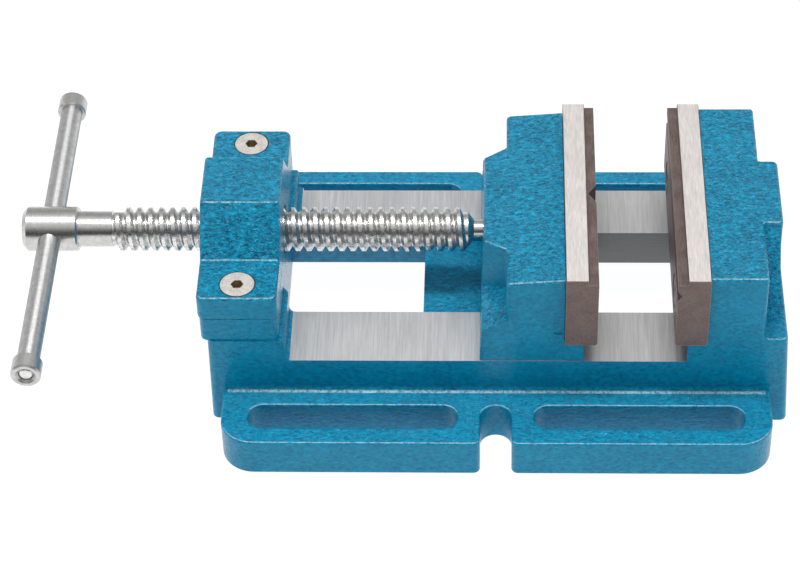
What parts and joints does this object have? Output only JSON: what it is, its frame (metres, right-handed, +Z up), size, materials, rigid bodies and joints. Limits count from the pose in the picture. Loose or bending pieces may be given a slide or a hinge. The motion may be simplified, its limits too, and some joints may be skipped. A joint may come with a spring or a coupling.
{
  "type": "machine vise",
  "caption": "Low drill-press vise with a slotted flange base, a moving jaw on two rails, a screw spindle with a T-bar handle and stepped, grooved jaw plates.",
  "frame": {"origin": "middle of the base, halfway between the two side notches, on the face that rests on the machine table", "axes": "+X along the spindle from the handle to the fixed jaw, +Y along the jaw plates, +Z up"},
  "size_m": [0.3471, 0.1863, 0.0945],
  "materials": {
    "casting_enamel": "glossy blue hammered enamel",
    "plain_steel": "plain turned or ground steel",
    "nut_bronze": "machined bronze",
    "plated_screw": "bright zinc plating",
    "plate_steel": "hardened steel, ground on top, dark oxide on the sides",
    "dark_screw": "black oxide",
    "spindle_steel": "turned steel",
    "bar_steel": "polished steel",
    "cap_steel": "matte turned steel"
  },
  "bodies": {
    "base": {"base_casting": "casting_enamel", "nut_cap": "casting_enamel", "nut_cap_dowels": "plain_steel", "spindle_nut": "nut_bronze", "nut_cap_screws": "plated_screw", "fixed_jaw_plate": "plate_steel", "fixed_jaw_screws": "dark_screw"},
    "moving_jaw": {"moving_jaw_casting": "casting_enamel", "moving_jaw_plate": "plate_steel", "moving_jaw_screws": "dark_screw", "keeper_strip_front": "plain_steel", "keeper_strip_rear": "plain_steel", "keeper_washers": "plated_screw", "keeper_screws": "plated_screw", "thrust_disc": "plain_steel", "retaining_pins": "plain_steel"},
    "spindle": {"spindle": "spindle_steel"},
    "handle": {"handle_bar": "bar_steel", "handle_cap_front": "cap_steel", "handle_cap_rear": "cap_steel"}
  },
  "joints": [
    {"name": "jaw_slide", "type": "slide", "parent": "base", "child": "moving_jaw", "axis": [1, 0, 0], "range_m": [-0.058, 0.034]},
    {"name": "spindle_turn", "type": "hinge", "parent": "moving_jaw", "child": "spindle", "pos_m": [0, 0, 0.0643], "axis": [1, 0, 0], "range_deg": [-4180, 2450]},
    {"name": "handle_slide", "type": "slide", "parent": "spindle", "child": "handle", "axis": [0, 1, 0], "range_m": [-0.0712, 0.0755]}
  ],
  "couplings": [
    {"joint": "spindle_turn", "follows": "jaw_slide", "rad_per_m": 1256.6}
  ]
}
